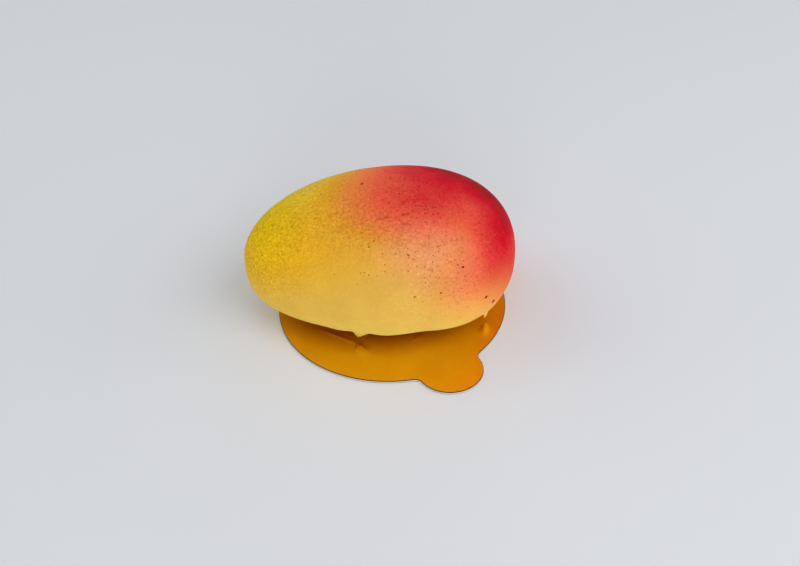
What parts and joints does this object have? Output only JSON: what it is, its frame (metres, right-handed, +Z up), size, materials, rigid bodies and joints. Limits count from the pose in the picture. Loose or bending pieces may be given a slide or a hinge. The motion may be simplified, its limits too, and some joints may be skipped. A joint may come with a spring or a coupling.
{
  "type": "mango-shaped mousse cake",
  "caption": "Single-serving mousse cake shaped like a whole mango, with a sprayed yellow to red velvet coating, on a round gold card with a pull tab.",
  "frame": {"origin": "centre of the round card's underside, on the surface that the card lies on", "axes": "+X along the mango towards its broad end, +Y across it to the side away from the card's tab, +Z up"},
  "size_m": [0.0937, 0.0865, 0.0494],
  "materials": {
    "sprayed_coating": "matte, finely grainy velvet of sprayed cocoa butter, yellow at the narrow end through golden and coral to crimson at the broad end",
    "gold_board": "thin board with a shiny gold foil face and a pale cut edge"
  },
  "bodies": {
    "root": {"mango_mousse": "sprayed_coating", "gold_card": "gold_board"}
  },
  "joints": []
}
